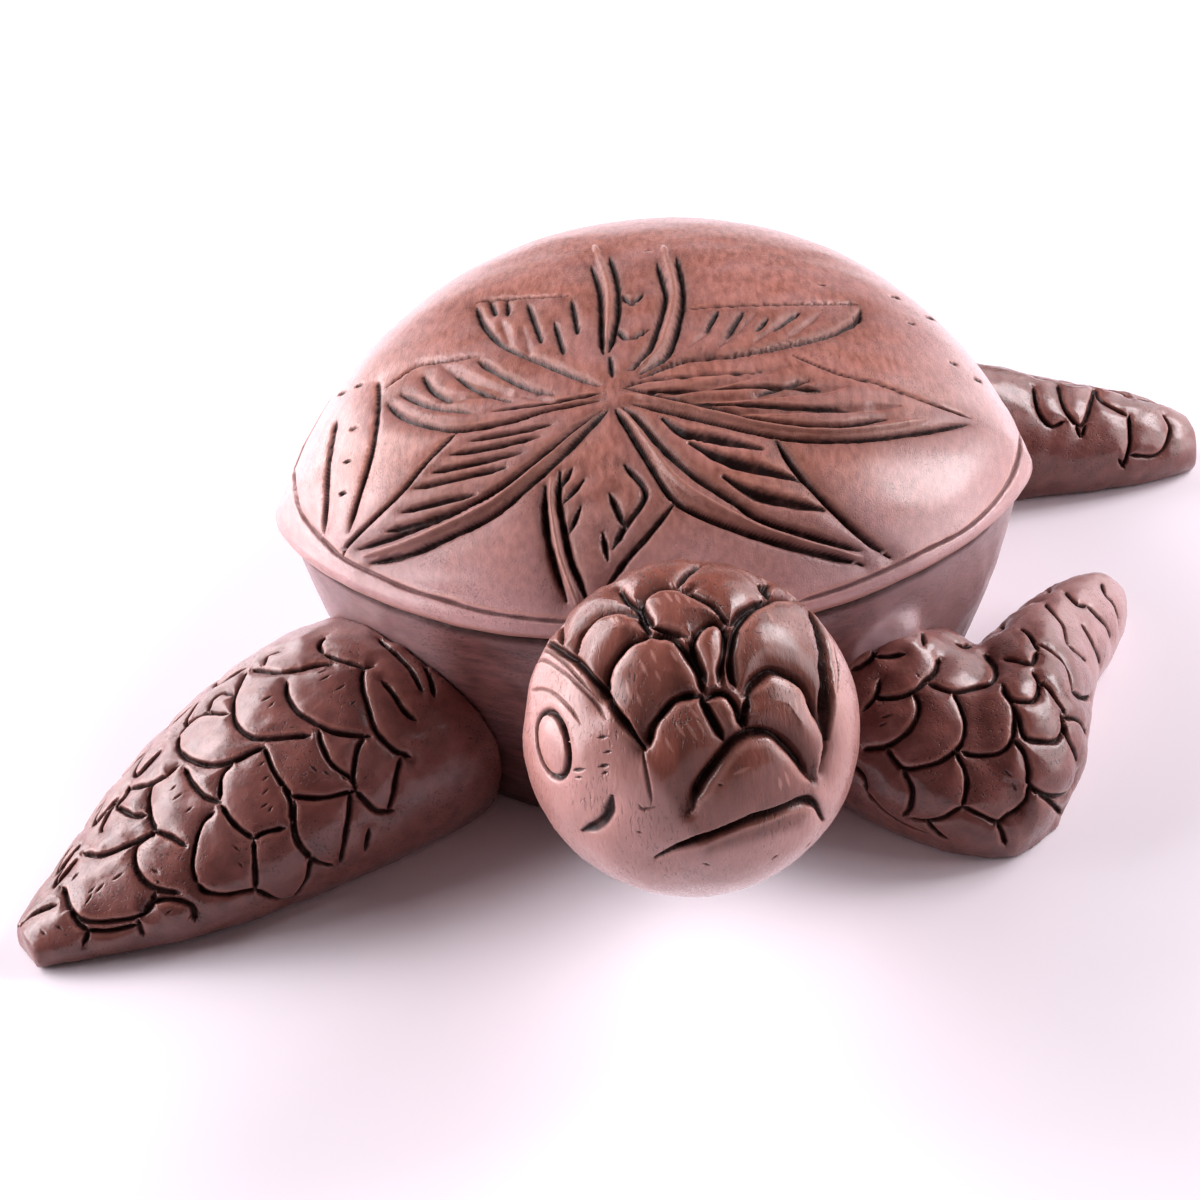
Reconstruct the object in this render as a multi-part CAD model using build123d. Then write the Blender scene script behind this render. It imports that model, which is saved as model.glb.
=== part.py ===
from build123d import *
import os
from math import cos, pi, radians, sin, sqrt

# A hand-carved wooden sea turtle that stands on its flat belly.
# Millimetres. The belly is on z = 0, +Z is up and the head looks along -Y.
# The origin is on the belly, on the shell's middle line, under the shell's widest place.
# Each carved piece is glued to the body on dowels, so nothing on the turtle moves.

# Shell: plan measured from its widest line, forward and back
shell_half_width = 75.0
shell_front_length = 54.0
shell_rear_length = 142.0
rim_height = 45.0
dome_rise = 26.0
front_fullness_share = 1.4
rear_fullness_share = 2.1
dome_size_shares = (1.0, 0.985, 0.94, 0.86, 0.72, 0.54, 0.34, 0.16, 0.05)
outline_steps = 28

# Rosette: main lines of the leaves, gouged into the dome.
# Each line goes through three places: turn from the front in degrees, share of the way to the rim.
leaf_gouge_radius = 1.1
leaf_line_shares = (
    ((-74, 0.53), (-61, 0.77), (-62, 0.93)),
    ((-32, 0.21), (-33, 0.62), (-52, 0.93)),
    ((-53, 0.17), (-75, 0.51), (-99, 0.7)),
    ((-112, 0.48), (-110, 0.56), (-104, 0.73)),
    ((-95, 0.12), (-118, 0.43), (-131, 0.64)),
    ((-132, 0.65), (-143, 0.5), (-152, 0.41)),
    ((-139, 0.15), (-160, 0.33), (-165, 0.67)),
    ((150, 0.08), (157, 0.28), (170, 0.59)),
    ((153, 0.3), (132, 0.47), (119, 0.7)),
    ((100, 0.1), (108, 0.38), (117, 0.7)),
    ((96, 0.16), (103, 0.41), (89, 0.84)),
    ((0, 0.17), (49, 0.55), (86, 0.84)),
    ((45, 0.53), (39, 0.78), (43, 0.92)),
    ((-22, 0.19), (6, 0.65), (36, 0.93)),
    ((-28, 0.61), (-20, 0.82), (-15, 0.92)),
    ((7, 0.68), (0, 0.78), (-8, 0.92)),
    ((-106, 0.77), (-83, 0.73), (-64, 0.92)),
)

# Body block: the belly's outline, the bulge half way up and the rim's overhang
rim_overhang = 2.0
belly_half_width = 58.0
belly_front_length = 47.0
belly_rear_length = 112.0
flank_height = 21.0
flank_half_width = 67.0
flank_front_length = 50.5
flank_rear_length = 127.0

# Head: a ball on a short neck that is one piece with the body
head_radius = 27.0
head_side = 5.6
head_forward = 89.0
head_height = 51.5
neck_root_side = 2.0
neck_root_forward = 34.0
neck_root_height = 17.0
neck_root_radius = 18.0
neck_end_radius = 17.0

# Face and crown: main edges of the head's plates, gouged into the ball.
# Each goes through three places: turn from the front and lift over the level, in degrees.
plate_gouge_radius = 1.3
plate_lines = (
    ((-72, 47), (-46, 43), (-18, 27)),
    ((-38, 41), (-42, 56), (-29, 66)),
    ((-14, 63), (4, 57), (8, 46)),
    ((-16, 28), (-5, 44), (6, 44)),
    ((-2, 6), (18, 29), (45, 4)),
    ((26, 42), (46, 45), (55, 12)),
    ((23, 45), (43, 64), (85, 60)),
    ((88, 52), (71, 31), (60, 14)),
    ((-80, 53), (-83, 63), (-52, 71)),
    ((-14, -12), (18, 2), (50, -11)),
    ((-41, -9), (-30, 1), (-27, 10)),
)
eye_places = ((-55, 18), (93, 14))
eye_ring_radius = 5.6
eye_gouge_radius = 0.8

# Front flipper that reaches out, on the turtle's right
reach_root = (-45.0, -23.0)
reach_tip = (-117.5, -75.5)
reach_width = 56.0
reach_thickness = 44.0

# Front flipper that is bent back, on the turtle's left
bent_root = (34.0, -24.0)
bent_elbow = (60.5, -51.0)
bent_tip = (95.2, 19.2)
bent_arm_width = 42.0
bent_arm_thickness = 38.0
bent_blade_width = 31.0
bent_blade_thickness = 34.0

# Hind flipper that sticks out, on the turtle's left
hind_out_root = (46.0, 80.0)
hind_out_tip = (129.0, 85.5)

# Hind flipper that trails behind, on the turtle's right
hind_back_root = (-24.0, 88.0)
hind_back_tip = (-58.0, 160.0)
hind_width = 34.0
hind_thickness = 36.0

# The part of a flipper's thickness that its flat sole cuts away
sole_share = 0.16

# Sections from root to tip: place along the flipper, width, thickness, each as a share
reach_shares = (
    (0.0, 0.86, 0.96),
    (0.2, 1.0, 1.0),
    (0.42, 0.97, 0.9),
    (0.66, 0.8, 0.62),
    (0.88, 0.44, 0.32),
    (1.0, 0.2, 0.17),
)
arm_shares = (
    (0.0, 0.9, 0.92),
    (0.45, 1.0, 1.0),
    (0.85, 0.98, 0.88),
    (1.15, 0.74, 0.64),
    (1.3, 0.4, 0.34),
)
blade_shares = (
    (-0.12, 0.62, 0.7),
    (0.1, 0.98, 1.0),
    (0.35, 0.92, 0.92),
    (0.65, 0.72, 0.72),
    (0.88, 0.5, 0.52),
    (1.0, 0.26, 0.3),
)
hind_shares = (
    (0.0, 0.94, 1.0),
    (0.35, 1.0, 0.92),
    (0.65, 0.94, 0.72),
    (0.9, 0.72, 0.52),
    (1.0, 0.44, 0.36),
)

# Dowels and the glue gap round them
glue_gap = 0.1
shell_dowel_diameter = 8.0
shell_dowel_length = 26.0
shell_dowel_side = 34.0
shell_dowel_front = 12.0
shell_dowel_rear = 72.0
head_dowel_diameter = 10.0
head_dowel_length = 30.0
front_dowel_diameter = 7.0
front_dowel_length = 26.0
front_dowel_spacing = 15.0
front_dowel_height = 16.0
hind_dowel_diameter = 5.0
hind_dowel_length = 20.0
hind_dowel_spacing = 12.0
hind_dowel_height = 11.0


def plan_point(half_width, front_length, rear_length, angle):
    """A point of the shell's plan, a little pointed in front, at one turn from the front."""
    along = -cos(angle)
    ahead = along < 0
    fullness = front_fullness_share if ahead else rear_fullness_share
    length = front_length if ahead else rear_length
    across = sqrt(max(0.0, 1 - abs(along) ** fullness))
    side = 1 if sin(angle) > 0 else -1
    return half_width * across * side, length * along


def shell_outline(half_width, front_length, rear_length, height):
    """The closed plan outline of one size, as a flat face at one height."""
    points = []
    for step in range(outline_steps):
        angle = 2 * pi * step / outline_steps
        points.append((*plan_point(half_width, front_length, rear_length, angle), height))
    return make_face(Spline(points, periodic=True))


def carapace_solid():
    """The domed shell, closed by a flat underside at the rim."""
    sections = []
    for size_share in dome_size_shares:
        rise = dome_rise * sqrt(1 - size_share**2)
        sections.append(
            shell_outline(
                shell_half_width * size_share,
                shell_front_length * size_share,
                shell_rear_length * size_share,
                rim_height + rise,
            )
        )
    return loft(sections)


def dome_point(turn, size_share):
    """A point on the dome, by its turn from the front and its share of the way to the rim."""
    plan = plan_point(
        shell_half_width * size_share,
        shell_front_length * size_share,
        shell_rear_length * size_share,
        radians(turn),
    )
    return Vector(*plan, rim_height + dome_rise * sqrt(1 - size_share**2))


def gouge_cut(points, radius):
    """What a round gouge takes away along an arc through three points."""
    path = ThreePointArc(*points)
    return sweep(Plane(origin=path @ 0, z_dir=path % 0) * Circle(radius), path=path)


def body_block():
    """The block under the shell, drawn in towards the flat belly."""
    belly = shell_outline(belly_half_width, belly_front_length, belly_rear_length, 0)
    flank = shell_outline(flank_half_width, flank_front_length, flank_rear_length, flank_height)
    top = shell_outline(
        shell_half_width - rim_overhang,
        shell_front_length - rim_overhang,
        shell_rear_length - rim_overhang,
        rim_height,
    )
    return loft([belly, flank, top])


head_centre = Vector(head_side, -head_forward, head_height)
neck_root = Vector(neck_root_side, -neck_root_forward, neck_root_height)
neck_direction = (head_centre - neck_root).normalized()
neck_seat_depth = sqrt(head_radius**2 - neck_end_radius**2)
neck_seat = head_centre - neck_direction * neck_seat_depth


def neck_solid():
    """The neck stub, from inside the block to the flat seat of the head."""
    root = Plane(origin=neck_root, z_dir=neck_direction) * Circle(neck_root_radius)
    end = Plane(origin=neck_seat, z_dir=neck_direction) * Circle(neck_end_radius)
    return loft([root, end])


def head_solid():
    """The ball of the head, flat where it sits on the neck, with the ball's seam at the back."""
    ball = Pos(head_centre) * Rot(0, 0, 90) * Sphere(head_radius)
    return split(ball, bisect_by=Plane(origin=neck_seat, z_dir=neck_direction), keep=Keep.TOP)


def head_direction(turn, lift):
    """A direction from the middle of the head."""
    level = cos(radians(lift))
    return Vector(sin(radians(turn)) * level, -cos(radians(turn)) * level, sin(radians(lift)))


def eye_cut(turn, lift):
    """The gouged ring round an eye."""
    outward = head_direction(turn, lift)
    depth = sqrt(head_radius**2 - eye_ring_radius**2)
    plane = Plane(origin=head_centre + outward * depth, z_dir=outward)
    return plane * Torus(eye_ring_radius, eye_gouge_radius)


def limb(root, tip, width, thickness, section_shares):
    """A flipper along a straight line on the floor, rounded above and flat below."""
    start = Vector(*root)
    run = Vector(*tip) - start
    across = Vector(0, 0, 1).cross(run)
    sections = []
    for place_share, width_share, thickness_share in section_shares:
        depth = thickness * thickness_share
        middle = start + run * place_share + Vector(0, 0, depth * (1 / 2 - sole_share))
        plane = Plane(origin=middle, x_dir=across, z_dir=run)
        sections.append(plane * Ellipse(width * width_share / 2, depth / 2))
    return split(loft(sections), bisect_by=Plane.XY, keep=Keep.TOP)


def dowel(centre, direction, diameter, length):
    """A round dowel about its middle."""
    return Plane(origin=centre, z_dir=direction) * Cylinder(diameter / 2, length)


def dowel_hole(centre, direction, diameter, length):
    """The drilled space for a dowel, larger by the glue gap."""
    return dowel(centre, direction, diameter + 2 * glue_gap, length + 2 * glue_gap)


def seam_point(piece, inner, outer):
    """Where a line from inside a piece comes out of it."""
    crossing = piece & Line(inner, outer)
    return crossing.vertices().sort_by_distance(outer)[0].center()


def limb_dowels(piece, root, tip, spacing, height, length):
    """Middles of a pair of dowels, side by side across the seam, and their direction."""
    run = (Vector(*tip) - Vector(*root)).normalized()
    across = Vector(0, 0, 1).cross(run)
    middles = []
    for side_share in (-1 / 2, 1 / 2):
        aside = across * (spacing * side_share) + Vector(0, 0, height)
        inner = Vector(*root) + aside - run * length
        outer = Vector(*tip) + aside
        middles.append(seam_point(piece, inner, outer))
    return middles, run


carapace = carapace_solid()
body = body_block() + neck_solid() - carapace
head = head_solid()

flippers = {
    "right_front_flipper": limb(reach_root, reach_tip, reach_width, reach_thickness, reach_shares),
    "left_front_flipper": limb(bent_root, bent_elbow, bent_arm_width, bent_arm_thickness, arm_shares)
    + limb(bent_elbow, bent_tip, bent_blade_width, bent_blade_thickness, blade_shares),
    "right_hind_flipper": limb(hind_back_root, hind_back_tip, hind_width, hind_thickness, hind_shares),
    "left_hind_flipper": limb(hind_out_root, hind_out_tip, hind_width, hind_thickness, hind_shares),
}
flipper_lines = {
    "right_front_flipper": (reach_root, reach_tip),
    "left_front_flipper": (bent_root, bent_elbow),
    "right_hind_flipper": (hind_back_root, hind_back_tip),
    "left_hind_flipper": (hind_out_root, hind_out_tip),
}
pieces = {}

for name, line in flipper_lines.items():
    fore = "front" in name
    spacing = front_dowel_spacing if fore else hind_dowel_spacing
    height = front_dowel_height if fore else hind_dowel_height
    diameter = front_dowel_diameter if fore else hind_dowel_diameter
    length = front_dowel_length if fore else hind_dowel_length
    middles, run = limb_dowels(body, line[0], line[1], spacing, height, length)
    flippers[name] = flippers[name] - body
    for number, middle in enumerate(middles, start=1):
        pieces[f"{name}_dowel_{number}"] = dowel(middle, run, diameter, length)
        hole = dowel_hole(middle, run, diameter, length)
        flippers[name] = flippers[name] - hole
        body = body - hole

shell_dowel_places = {
    "right_front": (-shell_dowel_side, -shell_dowel_front),
    "left_front": (shell_dowel_side, -shell_dowel_front),
    "right_rear": (-shell_dowel_side, shell_dowel_rear),
    "left_rear": (shell_dowel_side, shell_dowel_rear),
}
for corner, place in shell_dowel_places.items():
    middle = Vector(place[0], place[1], rim_height)
    up = Vector(0, 0, 1)
    pieces[f"carapace_dowel_{corner}"] = dowel(middle, up, shell_dowel_diameter, shell_dowel_length)
    hole = dowel_hole(middle, up, shell_dowel_diameter, shell_dowel_length)
    carapace = carapace - hole
    body = body - hole

for line in leaf_line_shares:
    carapace = carapace - gouge_cut([dome_point(*place) for place in line], leaf_gouge_radius)
for line in plate_lines:
    places = [head_centre + head_direction(*place) * head_radius for place in line]
    head = head - gouge_cut(places, plate_gouge_radius)
for place in eye_places:
    head = head - eye_cut(*place)

pieces["head_dowel"] = dowel(neck_seat, neck_direction, head_dowel_diameter, head_dowel_length)
head_hole = dowel_hole(neck_seat, neck_direction, head_dowel_diameter, head_dowel_length)
head = head - head_hole
body = body - head_hole

pieces["carapace"] = carapace
pieces["body"] = body
pieces["head"] = head
pieces.update(flippers)

os.makedirs("parts", exist_ok=True)
for name, piece in pieces.items():
    export_step(piece, f"parts/{name}.step")
    print(name, len(piece.solids()), round(piece.volume))
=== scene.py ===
# %% [markdown]
# # A carved wooden sea turtle
# The turtle is taken to be a set of wooden blanks, glued on dowels, carved with V-gouges, stained
# brown and waxed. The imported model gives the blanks. This lesson gives each blank an even skin of
# small faces, presses the carver's cuts into it and finishes the wood.

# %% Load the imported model
from math import cos, pi, radians, sin

import bmesh
import bpy
import numpy as np
from mathutils import Matrix, Vector, noise
from mathutils.bvhtree import BVHTree
from mathutils.kdtree import KDTree


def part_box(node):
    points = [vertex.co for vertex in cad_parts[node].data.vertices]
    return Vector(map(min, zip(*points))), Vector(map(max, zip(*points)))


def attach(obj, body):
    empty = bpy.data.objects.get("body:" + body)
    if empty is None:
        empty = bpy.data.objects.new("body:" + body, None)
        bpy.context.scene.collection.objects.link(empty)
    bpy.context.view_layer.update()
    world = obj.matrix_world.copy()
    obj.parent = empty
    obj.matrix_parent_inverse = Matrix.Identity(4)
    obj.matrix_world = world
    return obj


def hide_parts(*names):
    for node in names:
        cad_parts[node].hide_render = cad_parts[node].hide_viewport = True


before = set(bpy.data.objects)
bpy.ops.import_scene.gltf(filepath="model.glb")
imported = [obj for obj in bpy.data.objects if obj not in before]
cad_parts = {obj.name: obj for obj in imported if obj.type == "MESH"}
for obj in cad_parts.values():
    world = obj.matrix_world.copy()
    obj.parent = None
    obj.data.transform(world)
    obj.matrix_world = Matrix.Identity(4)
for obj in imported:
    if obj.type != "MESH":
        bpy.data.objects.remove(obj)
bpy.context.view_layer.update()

MM = 0.001

# %% [markdown]
# ## The camera comes first
# The cuts are read off the photograph, so the camera has to stand where the photographer stood.
# Its place was found from the outline of the shell: a little to the right of the turtle's nose,
# about thirty degrees up, and tilted by a few degrees. Each pixel then is a ray from that camera.

# %% Camera and pixel rays
photo_size = 1200
camera_azimuth = radians(3.4)
camera_elevation = radians(31.0)
camera_roll = radians(-5.5)
camera_target = Vector((-12.1, 0.0, 22.4)) * MM
camera_distance = 411 * MM
camera_lens = 60.0
sensor_width = 36.0
near_clip = 10 * MM

towards = Vector((
    sin(camera_azimuth) * cos(camera_elevation),
    -cos(camera_azimuth) * cos(camera_elevation),
    sin(camera_elevation),
))
camera_place = camera_target + towards * camera_distance
level_right = (-towards).cross(Vector((0, 0, 1))).normalized()
level_up = level_right.cross(-towards)
screen_right = level_right * cos(camera_roll) + level_up * sin(camera_roll)
screen_up = level_up * cos(camera_roll) - level_right * sin(camera_roll)

camera_data = bpy.data.cameras.new("photo camera")
camera_data.lens = camera_lens
camera_data.sensor_width = sensor_width
camera_data.clip_start = near_clip
camera = bpy.data.objects.new("photo camera", camera_data)
bpy.context.collection.objects.link(camera)
camera.matrix_world = Matrix.Translation(camera_place) @ Matrix(
    (screen_right, screen_up, towards)).transposed().to_4x4()
bpy.context.scene.camera = camera
focal_pixels = camera_lens / sensor_width * photo_size


def pixel_ray(x, y):
    """The direction from the camera through one pixel of the photograph."""
    aside = screen_right * (x - photo_size / 2) + screen_up * (photo_size / 2 - y)
    return (aside - towards * focal_pixels).normalized()


print("camera at", [round(v / MM, 1) for v in camera_place])

# %% [markdown]
# ## Tools of the carver
# A cut is a line of points on the wood with a width and a depth. Near the line the wood goes down
# in a V, and further off it swells back, which gives the soft, pillowed scales of the real carving.
# The depth of each cut is also kept as an attribute, so that the stain can settle in it. Painted shade
# beside the cuts is kept with it.

# %% Lines on the wood
line_step = 0.12 * MM
span_steps = 8
up = Vector((0, 0, 1))


def smooth_line(points):
    """A Catmull-Rom curve through a few points of any dimension."""
    points = np.array(points, float)
    before = 2 * points[0] - points[1]
    after = 2 * points[-1] - points[-2]
    knots = np.vstack([before, points, after])
    pieces = []
    for a, b, c, d in zip(knots, knots[1:], knots[2:], knots[3:]):
        t = np.linspace(0, 1, span_steps, endpoint=False)[:, None]
        pieces.append(b + t * (c - a) / 2 + t**2 * (a - 2.5 * b + 2 * c - d / 2)
                      + t**3 * (1.5 * (b - c) + (d - a) / 2))
    return np.vstack([*pieces, points[-1:]])


def dense_line(places, longest_gap=4 * MM):
    """Fills a line on the wood with close points, and leaves out leaps between two surfaces."""
    dense = []
    for start, end in zip(places, places[1:]):
        gap = np.linalg.norm(end - start)
        if gap > longest_gap:
            continue
        count = max(2, int(gap / line_step) + 1)
        dense.append(start + (end - start) * np.linspace(0, 1, count)[:, None])
    return np.vstack(dense) if dense else np.zeros((0, 3))


def lines_from_photo(tree, strokes):
    """Puts lines of pixels on the wood, each pixel along its ray."""
    lines = []
    for stroke in strokes:
        places = []
        for x, y in smooth_line(stroke):
            hit = tree.ray_cast(camera_place, pixel_ray(x, y))[0]
            if hit is not None:
                places.append(np.array(hit))
        if len(places) > 1:
            lines.append(dense_line(places))
    return lines


def wood_tree(piece):
    """A search tree of a piece's faces, for rays."""
    return BVHTree.FromPolygons([v.co for v in piece.data.vertices],
                                [p.vertices for p in piece.data.polygons])


# %% Families of cuts
least_points = 4


def cut(lines, half_width, depth, swell=0.0, reach=1.2, step=0.0, shade=0.0, taper=2.5,
        stain=1.0, pale=1.0, inset=0.0, rise=0.0, halo=0.0):
    """One family of cuts: lengths in mm, and shares for the stain, the painted shade beside it, the halo
    and the pale lip.
    """
    lengths = {"half_width": half_width, "depth": depth, "swell": swell, "reach": reach,
               "step": step, "taper": taper, "inset": inset, "rise": rise}
    family = {name: length * MM for name, length in lengths.items()}
    family.update(shade=shade, stain=stain, pale=pale, halo=halo)
    family["lines"] = [line for line in lines if len(line) >= least_points]
    return family


def point_tree(samples):
    """A search tree of points, for the nearest one."""
    tree = KDTree(len(samples))
    for index, sample in enumerate(samples):
        tree.insert(sample, index)
    tree.balance()
    return tree


# %% [markdown]
# No cut by hand is even: it starts and ends shallow, and the gouge sways a little. Scales also lie
# over one another, so each line has an inner side, towards its own middle, and an outer one.

# %% How full a cut is along its line
end_fullness = 0.35
sway = 0.22
sway_length = 3 * MM
least_bend = 1.5 * MM
tiny = 1e-12


def line_shares(line, taper):
    """Per point of a line: the way to its middle, and how full the cut is there."""
    along = np.gradient(line, axis=0)
    along /= np.linalg.norm(along, axis=1)[:, None] + tiny
    inward = line.mean(axis=0) - line
    inward -= (inward * along).sum(axis=1)[:, None] * along
    size = np.linalg.norm(inward, axis=1)[:, None]
    inward *= np.clip(size / least_bend, 0, 1) / (size + tiny)
    run = np.arange(len(line)) * line_step
    ends = np.minimum(run, run[-1] - run)
    hand = np.array([noise.noise(Vector(point) / sway_length) for point in line])
    full = np.clip(end_fullness + (1 - end_fullness) * ends / taper, 0, 1) * (1 + sway * hand)
    return inward, full


# %% [markdown]
# A crisp groove needs faces smaller than its width, but small faces everywhere would be far too
# many. So only the faces near the lines are halved, and those next to the lines once more.

# %% Small faces where the cuts will be
refine_bands = (1.8 * MM, 0.85 * MM)


def refine(piece, cuts):
    """Halves the faces near the cuts, and the nearest ones once more, so that cuts get crisp edges."""
    lines = [line for family in cuts for line in family["lines"]]
    if not lines:
        return
    tree = point_tree(np.vstack(lines))
    bm = bmesh.new()
    bm.from_mesh(piece.data)
    for band in refine_bands:
        for edge in bm.edges:
            edge.tag = False
        for face in bm.faces:
            if tree.find(face.calc_center_median())[2] < band:
                for edge in face.edges:
                    edge.tag = True
        near = [edge for edge in bm.edges if edge.tag]
        bmesh.ops.subdivide_edges(bm, edges=near, cuts=1, use_grid_fill=True)
    for face in bm.faces:
        face.smooth = True
    bm.to_mesh(piece.data)
    bm.free()


# %% [markdown]
# A gouge takes out a chip. Beside the groove the edge of the wood is rounded off, on the outer side of
# a scale the ground is taken down and gets a painted shade, and the stain gathers in the depth. Its
# lips are rubbed pale, and that pale colour also carries a painted highlight on the lips and on the
# tops of ridges. The distance to the nearest line decides on all of these, so they are worked out together.

# %% What one family of cuts does to the wood
least_width = 1e-9
side_blend = 0.5 * MM
far_reach = 3
near_swell = 0.8
far_swell = 0.5
stain_start = 2.9
stain_fall = 3.2
lip_middle = 1.5
lip_spread = 0.4
lip_side = 0.6


def family_marks(family, points):
    """How deep and raised each point gets by one family of cuts, and its stain, painted shade and pale lip.
    """
    shares = [line_shares(line, family["taper"]) for line in family["lines"]]
    inward = np.vstack([share[0] for share in shares])
    full = np.concatenate([share[1] for share in shares])
    samples = np.vstack(family["lines"]) + inward * family["inset"]
    tree = point_tree(samples)
    found = [tree.find(point) for point in points]
    nearest = np.array([hit[1] for hit in found])
    distance = np.array([hit[2] for hit in found])
    off = distance / (family["half_width"] * full[nearest] + least_width)
    away = points - samples[nearest]
    outside = -(away * inward[nearest]).sum(axis=1) / (distance + line_step)
    outside = np.clip(outside, -1, 1) * np.clip(distance / side_blend, 0, 1)
    beyond = np.clip(outside, 0, 1)
    fade = np.exp(-distance / family["reach"])
    far_fade = np.exp(-distance / (far_reach * family["reach"]))
    crest = np.clip(1 - off ** 2, 0, 1)
    edge = np.exp(-((off - lip_middle) / lip_spread) ** 2) * np.clip(lip_side - outside, 0, 1)
    stains_and_shade = (
        family["stain"] * np.clip(stain_start - stain_fall * off, 0, 1),
        # painted shade: the outer side beside a cut is darkened where the step would throw its shade
        family["shade"] * beyond * fade,
        family["halo"] * far_fade,
    )
    return {
        "groove": family["depth"] * full[nearest] * np.clip(1 - off, 0, 1),
        "pillow": family["swell"] * (near_swell * fade + far_swell * far_fade),
        "lower": family["step"] * beyond * fade,
        "raised": family["rise"] * full[nearest] * crest,
        # the cut share: the stain in the groove together with the painted shade beside it
        "cut": np.maximum.reduce(stains_and_shade),
        # the pale lip: wear, and a painted highlight along the lips and on ridge tops
        "lip": family["pale"] * (crest if family["rise"] else edge),
    }


# %% Pressing cuts into the wood
mark_names = ("groove", "pillow", "lower", "raised", "cut", "lip")


def carve(piece, cuts):
    """Presses families of cuts into a piece and keeps where the stain, the painted shade and the pale lips
    are.
    """
    refine(piece, cuts)
    mesh = piece.data
    points = np.empty(len(mesh.vertices) * 3)
    normals = np.empty(len(mesh.vertices) * 3)
    mesh.vertices.foreach_get("co", points)
    mesh.vertex_normals.foreach_get("vector", normals)
    points = points.reshape(-1, 3)
    normals = normals.reshape(-1, 3)
    marks = {name: np.zeros(len(points)) for name in mark_names}
    for family in cuts:
        if family["lines"]:
            for name, values in family_marks(family, points).items():
                marks[name] = np.maximum(marks[name], values)
    depth = marks["groove"] + marks["pillow"] + marks["lower"]
    points -= normals * (depth - marks["raised"])[:, None]
    points[:, 2] = np.maximum(points[:, 2], 0)
    mesh.vertices.foreach_set("co", points.ravel())
    for name in ("cut", "lip"):
        layer = mesh.attributes.get(name) or mesh.attributes.new(name, "FLOAT", "POINT")
        layer.data.foreach_set("value", np.clip(marks[name], 0, 1))
    mesh.update()
    triangles = sum(len(face.vertices) - 2 for face in mesh.polygons)
    print(piece.name, "carved:", triangles, "triangles, deepest", round(depth.max() / MM, 2), "mm")


# %% [markdown]
# Handling wears the stain off the places that stand out, and the knife leaves no surface quite
# even. A pale share is kept for each point, which the finish reads: partly wear and wax, partly a
# painted sheen and painted light where the lamps fall. The knife's lumps are real form.

# %% Wear with painted light, and knife work
small_lump = 0.4
small_lump_rate = 2.7


def ease(value, low, high):
    """A soft rise from 0 at the low value to 1 at the high one."""
    share = min(max((value - low) / (high - low), 0), 1)
    return share * share * (3 - 2 * share)


def keep(piece, name, share_at):
    """Keeps a share for each place of a piece, or the one it has where that is larger."""
    mesh = piece.data
    layer = mesh.attributes.get(name) or mesh.attributes.new(name, "FLOAT", "POINT")
    for vert, held in zip(mesh.vertices, layer.data):
        held.value = max(held.value, share_at(vert.co))


def hand_work(piece, depth, length):
    """Uneven knife work: soft lumps over the whole piece, and smaller ones between them."""
    mesh = piece.data
    moved = []
    for vert, normal in zip(mesh.vertices, mesh.vertex_normals):
        lump = noise.noise(vert.co / length)
        lump += small_lump * noise.noise(vert.co * small_lump_rate / length)
        moved.extend(vert.co + normal.vector * (lump * depth))
    mesh.vertices.foreach_set("co", moved)
    mesh.update()


# %% [markdown]
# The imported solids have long, thin triangles that no cut could be pressed into. A voxel remesh
# covers a copy of such a solid with small faces of one size, and a few rounds of smoothing take
# away its steps and round the edges, as sandpaper does.

# %% Blanks with an even skin
weld_distance = 0.01 * MM
smoothing = 0.5
lump_rounds = 4


def show(name, bm):
    """Makes a finished bmesh a piece at the origin, smooth shaded."""
    mesh = bpy.data.meshes.new(name)
    bm.to_mesh(mesh)
    bm.free()
    mesh.polygons.foreach_set("use_smooth", [True] * len(mesh.polygons))
    piece = bpy.data.objects.new(name, mesh)
    bpy.context.collection.objects.link(piece)
    return piece


def blank_from_node(node, name, voxel, rounds, lumps=()):
    """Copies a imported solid, with lumps put on, covers it with small even faces and softens it."""
    bm = bmesh.new()
    bm.from_mesh(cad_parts[node].data)
    bmesh.ops.remove_doubles(bm, verts=bm.verts, dist=weld_distance)
    for middle, sizes in lumps:
        place = Matrix.Translation(Vector(middle) * MM) @ Matrix.Diagonal((*Vector(sizes) * MM, 1))
        bmesh.ops.create_icosphere(bm, subdivisions=lump_rounds, radius=1, matrix=place)
    piece = show(name, bm)
    skin = piece.modifiers.new("even skin", "REMESH")
    skin.mode = "VOXEL"
    skin.voxel_size = voxel
    depsgraph = bpy.context.evaluated_depsgraph_get()
    even = bpy.data.meshes.new_from_object(piece.evaluated_get(depsgraph))
    piece.modifiers.clear()
    bm = bmesh.new()
    bm.from_mesh(even)
    for _ in range(rounds):
        bmesh.ops.smooth_vert(bm, verts=bm.verts, factor=smoothing,
                              use_axis_x=True, use_axis_y=True, use_axis_z=True)
    bm.to_mesh(piece.data)
    bm.free()
    bpy.data.meshes.remove(even)
    piece.data.polygons.foreach_set("use_smooth", [True] * len(piece.data.polygons))
    print(name, "blank:", len(piece.data.polygons), "faces")
    return piece


# %% [markdown]
# ## The shell
# The shell is a low dome over a plan like an egg, a little pointed in front. A square grid is
# wrapped to a disc and the disc to the dome, because a grid has small faces of one size everywhere,
# and the leaf lines need them. Near the rim the faces are halved and rounded to a lip. One flat face
# closes the dome below, once it is carved.

# %% Shell dome
shell_low, shell_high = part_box("carapace")
shell_half_width = 75 * MM
shell_front = -shell_low[1]
shell_rear = shell_high[1]
rim_height = shell_low[2]
dome_rise = shell_high[2] - shell_low[2]
front_fullness = 1.4
rear_fullness = 2.1
shell_cells = 108
lip_height = 6.5 * MM
lip_swell = 0.9 * MM
lip_round = 1.3 * MM
lip_round_share = 0.3
dome_steps = 400


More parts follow.
